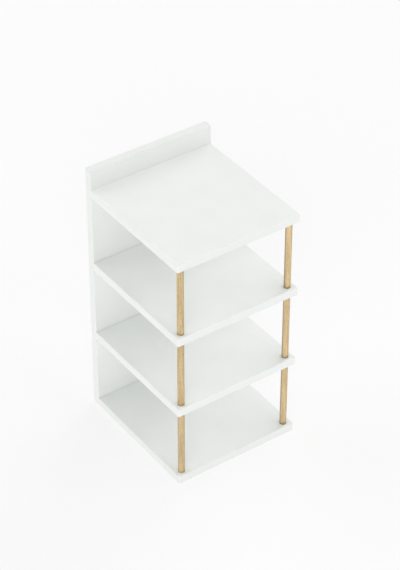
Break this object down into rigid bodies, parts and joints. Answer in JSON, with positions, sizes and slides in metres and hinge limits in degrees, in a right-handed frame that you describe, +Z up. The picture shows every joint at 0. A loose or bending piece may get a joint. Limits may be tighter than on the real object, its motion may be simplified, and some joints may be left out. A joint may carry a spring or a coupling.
{
  "type": "miniature bookcase",
  "caption": "Open white dolls' house bookcase: square shelves cantilevered from a tall backboard, tied at the front corners by round bare-wood posts.",
  "frame": {"origin": "middle of the footprint on the surface that the bookcase stands on", "axes": "+Z up, +Y to the backboard, so the open front faces -Y, +X to the right seen from the front"},
  "size_m": [0.08, 0.088, 0.1664],
  "materials": {
    "white_paint": "satin white spray paint over fine fibreboard, edges sanded soft",
    "post_wood": "bare pale hardwood dowel, straight grain along its length, sanded",
    "peg_wood": "bare hardwood peg, glued"
  },
  "bodies": {
    "root": {"backboard": "white_paint", "base_shelf": "white_paint", "lower_shelf": "white_paint", "upper_shelf": "white_paint", "top_shelf": "white_paint", "left_post": "post_wood", "right_post": "post_wood", "base_left_peg": "peg_wood", "base_right_peg": "peg_wood", "lower_left_peg": "peg_wood", "lower_right_peg": "peg_wood", "upper_left_peg": "peg_wood", "upper_right_peg": "peg_wood", "top_left_peg": "peg_wood", "top_right_peg": "peg_wood"}
  },
  "joints": []
}
